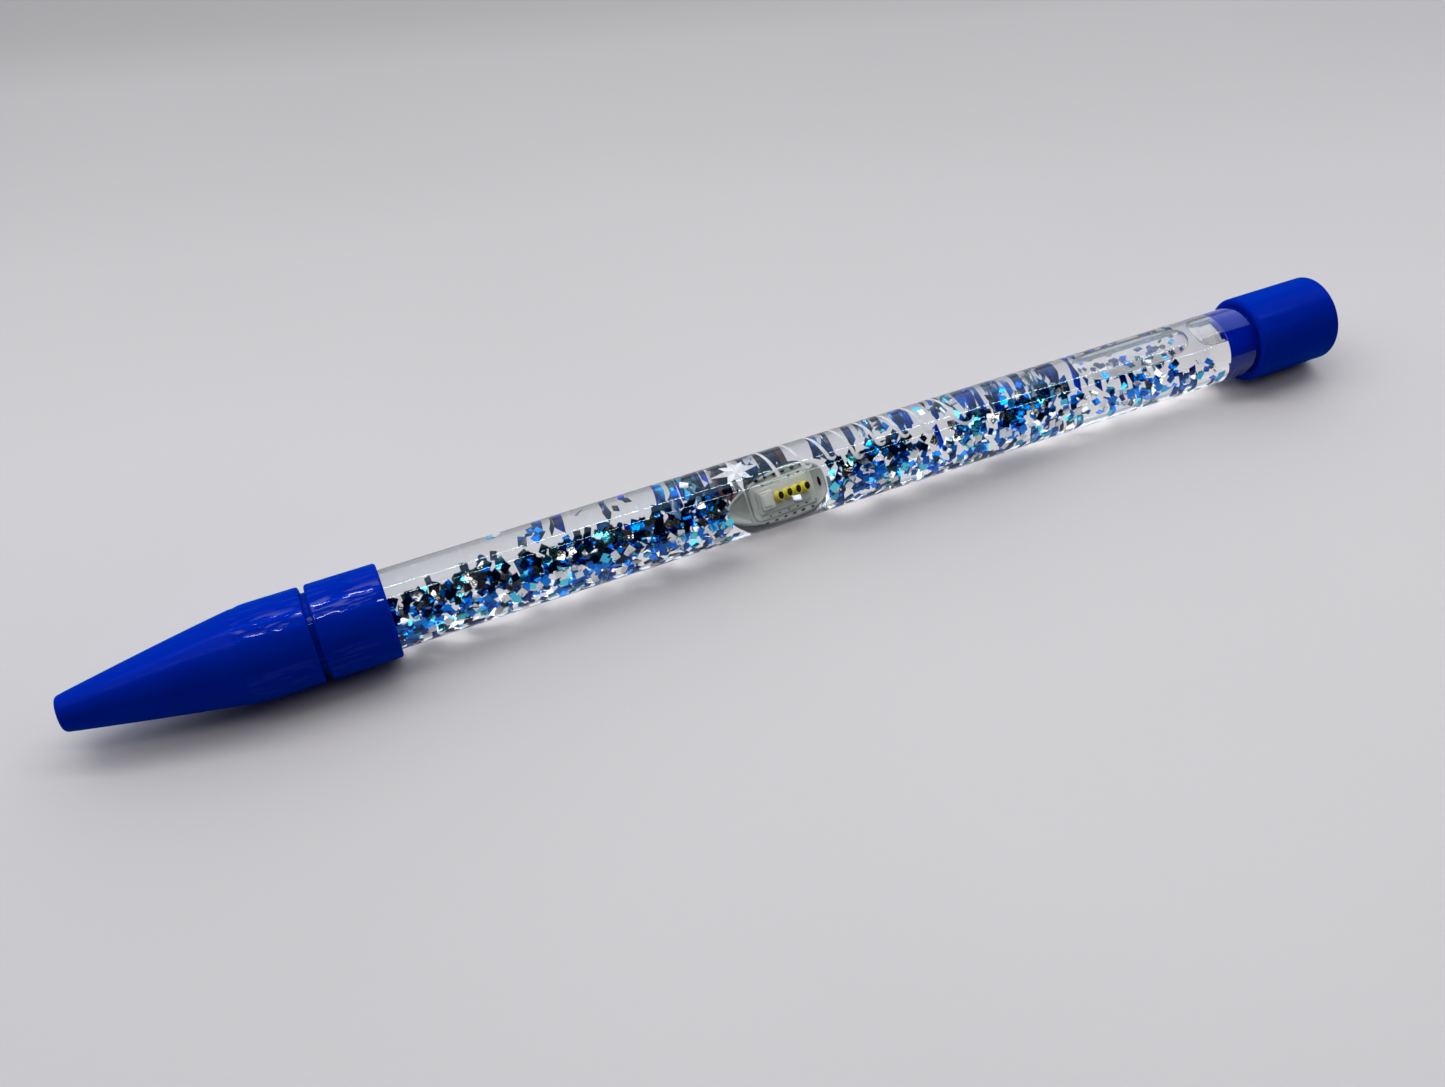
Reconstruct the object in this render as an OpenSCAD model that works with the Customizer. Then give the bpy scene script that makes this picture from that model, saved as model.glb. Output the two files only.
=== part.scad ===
// Souvenir ballpoint pen: a clear tube of liquid and glitter in which a small steamship drifts.
// The pen lies along X on the plane z = 0, writing end towards -X. Stations along the pen,
// written s, are counted from the closed tip of the cap.

/* [Pen] */
// Length from the closed tip of the cap to the rear face of the end cap
pen_len = 220; // [215:1:235]
// Outside diameter of the clear tube
tube_od = 12.6; // [12.4:0.1:12.8]
// Wall of the clear tube
tube_wall = 1; // [0.9:0.05:1.1]
// Clearance of glued and pressed parts, on the radius
glue_gap = 0.02; // [0.01:0.01:0.03]

/* [Pull-off cap] */
// Length of the cap
cap_len = 36.8; // [36:0.1:38]
// Length of the cone, up to the shoulder
cone_len = 27.8; // [27:0.1:28]
// Diameter of the cap and the collar
front_d = 14.9; // [14.8:0.1:15]
// Diameter of the flat tip of the cap
cap_tip_d = 5.1; // [4.8:0.1:5.4]
// Wall of the cone
cone_wall = 1.3; // [1.1:0.1:1.4]
// Running clearance between the cap's bore and the spigot
cap_fit = 0.06; // [0.03:0.01:0.09]

/* [Collar and writing end] */
// Gap between the cap and the collar
groove_w = 0.8; // [0.6:0.1:1]
// Length of the collar
collar_len = 10.9; // [10.5:0.1:11.5]
// Diameter of the spigot that the cap pushes on
spigot_d = 12.7; // [12.6:0.1:12.8]
// Length of the spigot
spigot_len = 8; // [7:0.5:8.5]
// Diameter of the ink tube
refill_d = 3; // [2.8:0.1:3.2]
// Diameter of the writing ball
ball_d = 1; // [0.8:0.1:1.2]

/* [End cap] */
// Length of the end cap
end_cap_len = 16.3; // [16:0.1:17]
// Diameter of the end cap
end_cap_d = 15; // [14.8:0.1:15.2]
// Thickness of the end cap's closed end
end_wall = 2.4; // [2:0.1:3]

/* [Ship] */
// Length of the ship
ship_len = 17.6; // [17:0.2:18.2]
// Beam of the ship at the deck
ship_beam = 5.8; // [5.4:0.1:6]
// Station of the bow
ship_bow = 103; // [101:0.2:105]
// Heel of the ship about the pen's axis
ship_heel = 42; // [36:1:46]
// Angle between the ship's centre line and the pen's axis
ship_yaw = 2.2; // [0:0.2:3]

/* [Glitter] */
// Side of one square flake
flake = 1.1; // [0.9:0.05:1.15]
// Flakes of each colour
flake_count = 60; // [40:1:60]

/* [Hidden] */
$fn = 96;

blue = "#0a3fc4";
axis_z = end_cap_d / 2;               // height of the pen's axis
front_r = front_d / 2;
tube_r = tube_od / 2;
bore_r = tube_r - tube_wall;
spigot_r = spigot_d / 2;
lip = 0.45;                           // rounding of the moulded rims

// Stations along the pen
tip_s = 0.4;                          // flat tip of the cap, behind the gate nub
collar_s = cap_len + groove_w;        // front face of the collar
collar_end_s = collar_s + collar_len; // rear face of the collar
tube_s = collar_s + 2;                // front end of the tube, inside the collar
end_cap_s = pen_len - end_cap_len;    // front face of the end cap
tube_end_s = pen_len - end_wall - 0.1;// rear end of the tube, inside the end cap
stopper_len = 7;
liquid_s = tube_s + stopper_len;      // front end of the liquid
liquid_end_s = end_cap_s - 5.7;       // rear end of the liquid, at the rear bung
bubble_level = 4.6;                   // height of the free surface of the liquid above the axis
bubble_w = 2 * sqrt(pow(bore_r, 2) - pow(bubble_level, 2));
bubbles = [[168.5, 191], [192.3, liquid_end_s + bubble_w / 2]];

// Refill and its holder
refill_r = refill_d / 2;
ink_r = refill_r - 0.5;               // bore of the ink tube
ball_r = ball_d / 2;
ball_s = 4.9;                         // centre of the writing ball
nib_s = ball_s - 0.2 * ball_d;        // lip that holds the ball
nib_end_s = 11.4;                     // shoulder where the ink tube starts
nose_s = 9.6;                         // front edge of the nose cone
nose_end_s = collar_s - spigot_len;   // where the nose cone meets the spigot
nose_tail_r = 4.4;
refill_end_s = tube_s - 0.6;

// Ship: x aft from the bow, y to starboard, z up from the deck, about its own centre line
ship_axis_drop = [-0.81, -0.74];      // offset of the deck's centre from the pen's axis, in Y and Z
hull_depth = 2.2;                     // black side
bottom_depth = 0.9;                   // red part
deck_t = 0.3;
house_h = 0.55;
bridge_h = 0.55;
funnel_count = 4;
funnel_r = 0.62;
funnel_h = 1.35;
funnel_top_r = 0.47;
funnel_top_h = 0.12;
funnel_rake = 14;
funnel_pitch = 1.57;
funnel_first = 8.9;                   // first funnel, from the bow
boat_count = 6;
boat_pitch = 1.6;
ship_clear = 0.3;                     // liquid between the ship and its pocket

// Places a profile of [radius, station] points on the pen's axis.
module turned(points) {
  at_station(0) rotate_extrude() polygon(points);
}

module at_station(s) {
  translate([s - pen_len / 2, 0, axis_z]) rotate([0, 90, 0]) children();
}

// Points of a quarter circle of radius r about [cx, cy], from angle a0 to a1.
function arc(cx, cy, r, a0, a1, steps = 8) =
  [for (i = [0 : steps]) let (a = a0 + (a1 - a0) * i / steps) [cx + r * cos(a), cy + r * sin(a)]];

// Radius of the cone's outside at station s.
function cone_r(s) =
  let (u = s / cone_len)
  cap_tip_d / 2 + 0.06 + (front_r - 0.1 - cap_tip_d / 2) * (1.08 * u - 0.08 * pow(u, 3));

// ---- Writing end ----

module cap() {
  bore_cap_r = spigot_r + cap_fit;
  bore_s = nose_end_s - 0.4;
  round_r = 0.8;
  round_s = tip_s + round_r;
  cone_points = 10;
  color(blue) {
    difference() {
      turned(concat(
        [[0, tip_s]],
        arc(cone_r(round_s) - round_r, round_s, round_r, -90, -12),
        [for (i = [1 : cone_points]) let (s = round_s + (cone_len - 1.4 - round_s) * i / cone_points)
          [cone_r(s), s]],
        [[front_r - 0.22, cone_len - 0.6], [front_r - 0.07, cone_len + 0.1], [front_r, cone_len + 1]],
        arc(front_r - lip, cap_len - lip, lip, 0, 90),
        [[0, cap_len]]
      ));
      turned([
        [0, 2.2], [cone_r(2.2) - cone_wall - 0.4, 2.2], [cone_r(6) - cone_wall, 6],
        [bore_cap_r - 0.6, bore_s - 1], [bore_cap_r - 0.6, bore_s], [0, bore_s]
      ]);
      at_station(bore_s - 0.01) cylinder(r = bore_cap_r, h = cap_len - bore_s + 1);
      at_station(cap_len - 0.3) cylinder(r1 = bore_cap_r, r2 = bore_cap_r + 0.3, h = 0.31);
    }
    at_station(0) translate([-0.3, -0.5, 0]) cylinder(d = 0.6, h = tip_s + 0.4);
  }
}

module front_collar() {
  color(blue) difference() {
    turned(concat(
      [[0, nose_end_s], [spigot_r - 0.4, nose_end_s], [spigot_r, nose_end_s + 0.6], [spigot_r, collar_s]],
      arc(front_r - lip, collar_s + lip, lip, -90, 0),
      arc(front_r - lip, collar_end_s - lip, lip, 0, 90),
      [[0, collar_end_s]]
    ));
    at_station(nose_end_s - 1) cylinder(r = nose_tail_r, h = collar_s - nose_end_s + 0.4);
    at_station(nose_end_s) cylinder(r = refill_r + 0.1, h = tube_s - nose_end_s);
    at_station(tube_s - 0.4) cylinder(r = refill_r + 0.1, h = 2);
    at_station(tube_s) cylinder(r = tube_r + glue_gap, h = collar_len);
  }
}

module nose_cone() {
  flange_r = spigot_r - 1;
  color("#d8dde4") difference() {
    turned([
      [0, nose_s], [1.75, nose_s], [2.1, nose_s + 0.5], [3.1, nose_s + 6],
      [flange_r - 0.3, nose_end_s - 1.6], [flange_r, nose_end_s - 1.1], [flange_r, nose_end_s],
      [nose_tail_r - glue_gap, nose_end_s], [nose_tail_r - glue_gap, collar_s - 0.8],
      [0, collar_s - 0.8]
    ]);
    at_station(nose_s - 1) cylinder(r = refill_r + glue_gap, h = collar_s);
  }
}

module refill_nib() {
  color("#c9a24a") difference() {
    turned([
      [0, nib_s], [ball_r + 0.12, nib_s], [ball_r + 0.3, nib_s + 0.7], [0.95, nib_s + 2.4],
      [1.15, nib_s + 2.7], [1.15, nib_end_s - 1], [refill_r, nib_end_s - 0.6], [refill_r, nib_end_s],
      [ink_r - glue_gap, nib_end_s], [ink_r - glue_gap, nib_end_s + 3], [0, nib_end_s + 3]
    ]);
    at_station(ball_s) sphere(r = ball_r + 0.03);
    at_station(ball_s) cylinder(d = 0.3, h = nib_end_s);
  }
}

module refill_ball() {
  color("silver") at_station(ball_s) sphere(r = ball_r);
}

module refill_tube() {
  color("white") difference() {
    at_station(nib_end_s) cylinder(r = refill_r, h = refill_end_s - nib_end_s);
    at_station(nib_end_s - 1) cylinder(r = ink_r, h = refill_end_s);
  }
}

module refill_ink() {
  ink_s = nib_end_s + 3.1;
  color("#10206a") at_station(ink_s) cylinder(r = ink_r - glue_gap, h = refill_end_s - ink_s - 4);
}

// ---- Barrel ----

// Bung with two soft ribs that press on the tube's bore.
module bung(s, len) {
  rib = 0.8;
  body_r = bore_r - 0.25;
  turned([
    [0, s], [body_r, s], [body_r + 0.15, s + 0.15],
    for (i = [0 : 1]) let (p = s + 1.2 + i * (len - 3.2)) each [
      [body_r, p], [bore_r - glue_gap, p + 0.2], [bore_r - glue_gap, p + rib], [body_r, p + rib + 0.2]
    ],
    [body_r, s + len], [0, s + len]
  ]);
}

module front_stopper() {
  color("#e8e8ea") bung(tube_s, stopper_len - 0.05);
}

module rear_stopper() {
  len = tube_end_s - liquid_end_s - 3;
  color(blue) difference() {
    bung(liquid_end_s, len);
    at_station(liquid_end_s + 5) cylinder(r = 2.6, h = len);
  }
}

module barrel_tube() {
  color("#dfe8f2", 0.3) difference() {
    at_station(tube_s) cylinder(r = tube_r, h = tube_end_s - tube_s);
    at_station(tube_s - 1) cylinder(r = bore_r, h = tube_end_s - tube_s + 2);
  }
}

// Plan outline of an air bubble between two stations, seen from above.
module bubble_outline(s0, s1) {
  r = bubble_w / 2;
  for (s = [s0 + r, s1 - r]) translate([s, 0]) circle(r = r);
  translate([s0 + r, -r]) square([s1 - s0 - 2 * r, 2 * r]);
}

module liquid_fill() {
  color("#cfe6f5", 0.25) difference() {
    at_station(liquid_s) cylinder(r = bore_r - glue_gap, h = liquid_end_s - liquid_s - 0.05);
    for (b = bubbles)
      translate([-pen_len / 2, 0, axis_z + bubble_level])
        linear_extrude(bore_r) bubble_outline(b[0], b[1]);
    in_ship() translate([-ship_clear, 0, 0]) rotate([90, 0, 90])
      linear_extrude(ship_len + 2 * ship_clear) ship_pocket();
  }
}

// Cross-section of the pocket that the ship leaves in the liquid.
module ship_pocket() {
  half = ship_beam / 2 + ship_clear;
  keel = -(deck_t + hull_depth + bottom_depth) - ship_clear;
  top = house_h + funnel_h + funnel_top_h + ship_clear;
  polygon([
    [-half, 0.3], [-half, -1], [-half + 0.55, keel], [half - 0.55, keel], [half, -1], [half, 0.3],
    [2.2, house_h + bridge_h], [1, top], [-1, top], [-2.2, house_h + bridge_h]
  ]);
}

// Square flakes spread along the lower wall of the bore, layer by layer, each clear of the next.
module flakes(layer) {
  flake_t = 0.06;
  spread = 58;
  first = liquid_s + 1.5;
  pitch = (liquid_end_s - 2 - first) / flake_count;
  r = bore_r - 0.32 - layer * 0.15;
  for (i = [0 : flake_count - 1])
    at_station(first + (i + layer / 3) * pitch)
      rotate([0, 0, spread * sin(137.5 * i + 77 * layer)])
        translate([r, 0, 0])
          rotate([i * 47 + layer * 20, 0, 0])
            cube([flake_t, flake, flake], center = true);
}

module glitter_blue() { color("#0b3bd0") flakes(0); }
module glitter_cyan() { color("#22b4ee") flakes(1); }
module glitter_silver() { color("#e6ebf0") flakes(2); }

module rear_cap() {
  color(blue) difference() {
    turned(concat(
      [[0, end_cap_s]],
      arc(axis_z - lip, end_cap_s + lip, lip, -90, 0),
      arc(axis_z - lip, pen_len - lip, lip, 0, 90),
      [[0, pen_len]]
    ));
    at_station(end_cap_s - 1) cylinder(r = tube_r + glue_gap, h = tube_end_s - end_cap_s + 1.05);
  }
}

// ---- Ship ----

// Ship axes: x aft from the bow, y to starboard, z up from the deck.
module in_ship() {
  half = ship_len / 2;
  translate([ship_bow + half - pen_len / 2, ship_axis_drop[0], axis_z + ship_axis_drop[1]])
    rotate([ship_heel, 0, 0]) rotate([0, 0, ship_yaw]) translate([-half, 0, 0]) children();
}

// Half beam at a fraction f of the length: fine at the bow, full aft of midships, round stern.
function half_beam(f) = ship_beam / 2 * pow(max(sin(180 * pow(f, 1.6)), 0), 0.28);

module plan(inset = 0, from = 0, to = 1, steps = 22) {
  side = [for (i = [0 : steps]) let (f = (1 - cos(180 * i / steps)) / 2) [f * ship_len, half_beam(f)]];
  intersection() {
    offset(delta = -inset)
      polygon(concat(side, [for (i = [steps - 1 : -1 : 1]) [side[i][0], -side[i][1]]]));
    translate([from * ship_len, -ship_beam]) square([(to - from) * ship_len, 2 * ship_beam]);
  }
}

// A stretch of hull that narrows downwards, about the middle of the ship.
module hull_tier(z_top, depth, top_scale, bottom_scale) {
  mid = ship_len * 0.52;
  in_ship() translate([mid, 0, z_top]) mirror([0, 0, 1])
    linear_extrude(depth, scale = bottom_scale / top_scale)
      scale([top_scale, top_scale]) translate([-mid, 0]) plan();
}

module ship_hull() { color("#101114") hull_tier(-deck_t, hull_depth, 0.985, 0.93); }
module ship_bottom() { color("#8c1d1a") hull_tier(-deck_t - hull_depth, bottom_depth, 0.93, 0.8); }

module ship_deck() {
  color("#d9dccb") in_ship() translate([0, 0, -deck_t]) linear_extrude(deck_t) plan();
}

module ship_house() {
  color("#e2e5d6") in_ship() {
    linear_extrude(house_h) plan(inset = 0.75, from = 0.25, to = 0.88);
  }
}

module ship_bridge() {
  color("#e8eadc") in_ship() translate([ship_len * 0.34, -1.1, house_h]) cube([2.2, 2.2, bridge_h]);
}

// Axis frame of funnel k, counted from the bow, standing on the house and raked aft.
module at_funnel(k) {
  in_ship() translate([funnel_first + (k - 1) * funnel_pitch, 0, house_h])
    rotate([0, funnel_rake, 0]) children();
}

module funnel(k) {
  color("#e7d21c") difference() {
    at_funnel(k) translate([0, 0, -0.3]) cylinder(r = funnel_r, h = funnel_h + 0.3, $fn = 32);
    in_ship() translate([0, -ship_beam, -5]) cube([ship_len, 2 * ship_beam, 5 + house_h]);
  }
}

module ship_funnel_1() { funnel(1); }
module ship_funnel_2() { funnel(2); }
module ship_funnel_3() { funnel(3); }
module ship_funnel_4() { funnel(4); }

module ship_funnel_tops() {
  color("black") for (k = [1 : funnel_count])
    at_funnel(k) translate([0, 0, funnel_h]) cylinder(r = funnel_top_r, h = funnel_top_h, $fn = 32);
}

// A row of boats along the deck's edge; side is -1 for port, 1 for starboard.
module boats(side) {
  color("#26282a") in_ship()
    for (i = [0 : boat_count - 1])
      translate([ship_len * 0.36 + i * boat_pitch, side * 2.5, 0.12])
        cube([0.75, 0.3, 0.24], center = true);
}

module ship_boats_port() { boats(-1); }
module ship_boats_starboard() { boats(1); }

module ship_stern_hatch() {
  color("black") in_ship()
    translate([ship_len * 0.935, 0, 0]) scale([0.5, 1, 1]) cylinder(r = 0.52, h = 0.16);
}

cap();
front_collar();
nose_cone();
refill_nib();
refill_ball();
refill_tube();
refill_ink();
front_stopper();
barrel_tube();
liquid_fill();
glitter_blue();
glitter_cyan();
glitter_silver();
rear_stopper();
rear_cap();
ship_hull();
ship_bottom();
ship_deck();
ship_house();
ship_bridge();
ship_funnel_1();
ship_funnel_2();
ship_funnel_3();
ship_funnel_4();
ship_funnel_tops();
ship_boats_port();
ship_boats_starboard();
ship_stern_hatch();
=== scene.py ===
"""Looks for the liquid-filled glitter pen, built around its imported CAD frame.

Lengths are metres. The pen lies along X. A station is a distance from the closed tip of the cap,
and an angle around the pen is 0 at the top and grows towards -Y, where the camera stands.
"""

import math
import random

import bmesh
import bpy
import numpy as np
from mathutils import Matrix, Vector
from mathutils.geometry import tessellate_polygon


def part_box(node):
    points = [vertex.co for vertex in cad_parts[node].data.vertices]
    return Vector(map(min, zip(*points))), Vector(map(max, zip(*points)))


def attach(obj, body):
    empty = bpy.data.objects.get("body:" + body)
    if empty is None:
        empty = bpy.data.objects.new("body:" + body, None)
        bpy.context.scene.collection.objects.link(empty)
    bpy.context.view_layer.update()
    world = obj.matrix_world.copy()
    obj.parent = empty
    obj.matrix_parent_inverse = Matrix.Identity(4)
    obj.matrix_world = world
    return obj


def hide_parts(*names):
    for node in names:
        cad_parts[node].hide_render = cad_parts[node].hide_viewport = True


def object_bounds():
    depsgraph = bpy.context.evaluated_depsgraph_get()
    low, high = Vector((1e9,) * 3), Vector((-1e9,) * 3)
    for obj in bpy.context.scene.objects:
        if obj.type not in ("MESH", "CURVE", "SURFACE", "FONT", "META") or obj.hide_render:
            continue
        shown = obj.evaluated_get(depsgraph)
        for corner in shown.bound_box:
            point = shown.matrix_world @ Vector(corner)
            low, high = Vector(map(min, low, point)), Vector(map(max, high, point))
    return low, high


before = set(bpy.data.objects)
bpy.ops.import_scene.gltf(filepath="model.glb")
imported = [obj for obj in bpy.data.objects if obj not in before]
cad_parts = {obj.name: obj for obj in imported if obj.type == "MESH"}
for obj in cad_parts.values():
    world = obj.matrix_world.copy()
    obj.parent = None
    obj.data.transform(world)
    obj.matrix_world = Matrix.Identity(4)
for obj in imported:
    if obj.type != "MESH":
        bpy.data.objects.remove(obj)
cad_low, cad_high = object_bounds()

MM = 0.001
TAU = 2 * math.pi
SEGMENTS = 192  # steps around a turned piece
SEED = 20
WELD = 1e-7  # points closer than this are one

# ---- sizes taken from the frame


def box_radius(node):
    low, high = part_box(node)
    return (high.z - low.z) / 2


TIP_X = cad_low.x
AXIS_Z = sum(p.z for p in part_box("rear_cap")) / 2
TUBE_R = box_radius("barrel_tube")
BORE_R = box_radius("front_stopper") + 0.02 * MM
FRONT_R = box_radius("front_collar")
END_R = box_radius("rear_cap")
COLLAR_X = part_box("cap")[1].x + 0.8 * MM
COLLAR_END_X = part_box("front_collar")[1].x
NOSE_END_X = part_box("front_collar")[0].x
END_CAP_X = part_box("rear_cap")[0].x
LIQUID_LOW_X, LIQUID_HIGH_X = (p.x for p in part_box("liquid_fill"))
SHIP_MID_X = sum(p.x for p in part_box("ship_deck")) / 2
SHIP_LEN = 17.6 * MM
SPIGOT_R = 6.35 * MM


def station(s):
    """The x of a station given in millimetres from the cap's tip."""
    return TIP_X + s * MM


def around(x, radius, angle):
    """A point at a radius and an angle about the pen's axis."""
    return (x, -radius * math.sin(angle), AXIS_Z + radius * math.cos(angle))


# ---- materials


def new_material(name):
    material = bpy.data.materials.new(name)
    material.use_nodes = True
    tree = material.node_tree
    return material, tree, tree.nodes["Principled BSDF"]


def node(tree, kind, **settings):
    made = tree.nodes.new(kind)
    for key, value in settings.items():
        if key in made.inputs:
            made.inputs[key].default_value = value
        else:
            setattr(made, key, value)
    return made


def soft_noise(tree, scale, stretch=(1, 1, 1), detail=4.0, roughness=0.5):
    """Noise over the piece's own coordinates, in metres; stretch scales it along each axis."""
    place = node(tree, "ShaderNodeTexCoord")
    mapping = node(tree, "ShaderNodeMapping")
    mapping.inputs["Scale"].default_value = stretch
    noise = node(tree, "ShaderNodeTexNoise", Scale=scale, Detail=detail, Roughness=roughness)
    tree.links.new(place.outputs["Object"], mapping.inputs["Vector"])
    tree.links.new(mapping.outputs["Vector"], noise.inputs["Vector"])
    return noise


def maths(tree, operation, *sources):
    """The result of a maths node, whose sources are outputs or numbers."""
    made = node(tree, "ShaderNodeMath", operation=operation)
    for socket, source in zip(made.inputs, sources):
        if isinstance(source, (int, float)):
            socket.default_value = source
        else:
            tree.links.new(source, socket)
    return made.outputs["Value"]


def set_inputs(shader, **values):
    """Sets inputs by name, with _ for each space."""
    for name, value in values.items():
        shader.inputs[name.replace("_", " ")].default_value = value


def feed(tree, output, name):
    """Links an output to the input of that name on the material's main shader."""
    tree.links.new(output, tree.nodes["Principled BSDF"].inputs[name])


def ramp(tree, source, stops, name=None):
    """A colour ramp, fed to a named input if there is a name; stops are (position, colour)."""
    made = node(tree, "ShaderNodeValToRGB")
    elements = made.color_ramp.elements
    while len(elements) < len(stops):
        elements.new(0.5)
    for element, (position, colour) in zip(elements, stops):
        element.position = position
        element.color = (*colour, 1.0)
    tree.links.new(source, made.inputs["Fac"])
    if name:
        feed(tree, made.outputs["Color"], name)
    return made.outputs["Color"]


def grey(value):
    return (value, value, value)


def bump(tree, noise, distance, name="Normal"):
    """Makes a noise into relief, of a height in metres, on a named normal input."""
    made = node(tree, "ShaderNodeBump", Strength=1.0, Distance=distance)
    tree.links.new(noise.outputs["Fac"], made.inputs["Height"])
    feed(tree, made.outputs["Normal"], name)


def moulded_plastic(name, light, dark, roughness, grain=0.02 * MM, level=0.5):
    """Moulded plastic with a little colour drift, scuffs and a fine grain."""
    material, tree, shader = new_material(name)
    set_inputs(shader, Specular_IOR_Level=level)
    drift = soft_noise(tree, 180, (0.4, 1, 1), detail=3)
    ramp(tree, drift.outputs["Fac"], [(0.3, dark), (0.7, light)], "Base Color")
    scuffs = soft_noise(tree, 900, (0.25, 1, 1), detail=6, roughness=0.7)
    smooth, worn = grey(roughness * 0.8), grey(roughness * 1.5)
    ramp(tree, scuffs.outputs["Fac"], [(0.35, smooth), (0.75, worn)], "Roughness")
    bump(tree, soft_noise(tree, 5200, detail=2), grain * 0.12)
    return material


POLISHED = math.radians(15)  # the middle of the side that handling has polished, from the top


def polished_side(tree):
    """1 along the polished side of a turned piece, and a little everywhere else."""
    place = node(tree, "ShaderNodeTexCoord")
    facing = node(tree, "ShaderNodeVectorMath", operation="DOT_PRODUCT")
    facing.inputs[1].default_value = (0, -math.sin(POLISHED), math.cos(POLISHED))
    tree.links.new(place.outputs["Normal"], facing.inputs[0])
    return ramp(tree, facing.outputs["Value"], [(0.955, grey(0.1)), (0.98, grey(1))])


def blue_plastic(name, roughness, gloss):
    """The blue of the caps. Gloss is a patchy skin, broken by shrink waves along the pen."""
    light, dark = (0.0, 0.019, 0.38), (0.0, 0.014, 0.33)
    material = moulded_plastic(name, light, dark, roughness, level=0.0)
    tree = material.node_tree
    shader = tree.nodes["Principled BSDF"]
    # The little metallic is a pearl pigment, whose sheen is blue.
    set_inputs(shader, Specular_Tint=(0.0, 1.0, 1.0, 1.0), Metallic=0.14)
    set_inputs(shader, Coat_IOR=2.4, Coat_Roughness=0.02 if gloss else 0.2)
    waves = soft_noise(tree, 520, (0.6, 1, 1), detail=2, roughness=0.45)
    bump(tree, waves, 0.10 * MM, "Coat Normal")
    patches = soft_noise(tree, 1500, (0.16, 1, 1), detail=1)
    if gloss:
        skin = [(0.50, grey(0.004)), (0.60, grey(0.28))]
    else:
        skin = [(0.3, grey(0.006)), (0.7, grey(0.014))]
    cover = ramp(tree, patches.outputs["Fac"], skin)
    feed(tree, maths(tree, "MULTIPLY", cover, polished_side(tree)), "Coat Weight")
    return material


def shadow_clear(tree, surface, tint=(1, 1, 1)):
    """Lets lamps shine through a clear surface, so that what is behind it is lit."""
    output = tree.nodes["Material Output"]
    path = node(tree, "ShaderNodeLightPath")
    clear = node(tree, "ShaderNodeBsdfTransparent", Color=(*tint, 1.0))
    mix = node(tree, "ShaderNodeMixShader")
    tree.links.new(path.outputs["Is Shadow Ray"], mix.inputs["Fac"])
    tree.links.new(surface, mix.inputs[1])
    tree.links.new(clear.outputs["BSDF"], mix.inputs[2])
    tree.links.new(mix.outputs["Shader"], output.inputs["Surface"])


def clear_plastic():
    """The tube's outer wall: polished acrylic with faint drawing lines along it."""
    material, tree, shader = new_material("clear_acrylic")
    set_inputs(
        shader,
        Base_Color=(0.985, 0.993, 1.0, 1.0), Transmission_Weight=1.0, IOR=1.49,
        Specular_Tint=(0.5, 0.78, 1.0, 1.0),
    )
    smears = soft_noise(tree, 260, (0.3, 1, 1), detail=5, roughness=0.6)
    ramp(tree, smears.outputs["Fac"], [(0.62, grey(0.0)), (0.95, grey(0.012))], "Roughness")
    shadow_clear(tree, shader.outputs["BSDF"], (0.97, 0.98, 1.0))
    return material


def matched_wall(name):
    """A wall between plastic and oil, whose indices match, so that it can't be seen."""
    material, tree, shader = new_material(name)
    clear = node(tree, "ShaderNodeBsdfTransparent", Color=(1, 1, 1, 1))
    tree.links.new(clear.outputs["BSDF"], tree.nodes["Material Output"].inputs["Surface"])
    tree.nodes.remove(shader)
    return material


def free_surface():
    """Where the oil meets air: its index is the oil's."""
    material, tree, shader = new_material("oil_free_surface")
    set_inputs(shader, Base_Color=(1, 1, 1, 1), Transmission_Weight=1.0, Roughness=0.0, IOR=1.47)
    shadow_clear(tree, shader.outputs["BSDF"])
    return material


def flake_film(name, deep, bright, roughness):
    """Metallised film: each flake has its own shade, with a faint ripple."""
    material, tree, shader = new_material(name)
    set_inputs(shader, Metallic=1.0)
    island = node(tree, "ShaderNodeNewGeometry")
    ramp(tree, island.outputs["Random Per Island"], [(0.0, deep), (1.0, bright)], "Base Color")
    speckle = soft_noise(tree, 2600, detail=2)
    smooth, rough = grey(roughness * 0.7), grey(roughness * 1.4)
    ramp(tree, speckle.outputs["Fac"], [(0.3, smooth), (0.7, rough)], "Roughness")
    bump(tree, speckle, 0.012 * MM)
    return material


def turned_metal(name, colour, roughness):
    """Lathe-turned metal with fine rings around the pen's axis."""
    material, tree, shader = new_material(name)
    set_inputs(shader, Metallic=1.0, Roughness=roughness)
    stain = soft_noise(tree, 700, detail=4)
    darker = tuple(0.75 * c for c in colour)
    ramp(tree, stain.outputs["Fac"], [(0.3, darker), (0.7, colour)], "Base Color")
    bump(tree, soft_noise(tree, 900, (9, 0.2, 0.2), detail=2), 0.01 * MM)
    return material


def printed_ink():
    """White pad-printed ink, slightly uneven, so that the tube shows a little through it."""
    material, tree, shader = new_material("white_print")
    patches = soft_noise(tree, 1500, detail=4)
    thin, thick = (0.60, 0.62, 0.66), (0.71, 0.72, 0.75)
    ramp(tree, patches.outputs["Fac"], [(0.3, thin), (0.7, thick)], "Base Color")
    ramp(tree, patches.outputs["Fac"], [(0.2, grey(0.62)), (0.6, grey(0.88))], "Alpha")
    set_inputs(shader, Roughness=0.45)
    bump(tree, patches, 0.01 * MM)
    return material


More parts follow.
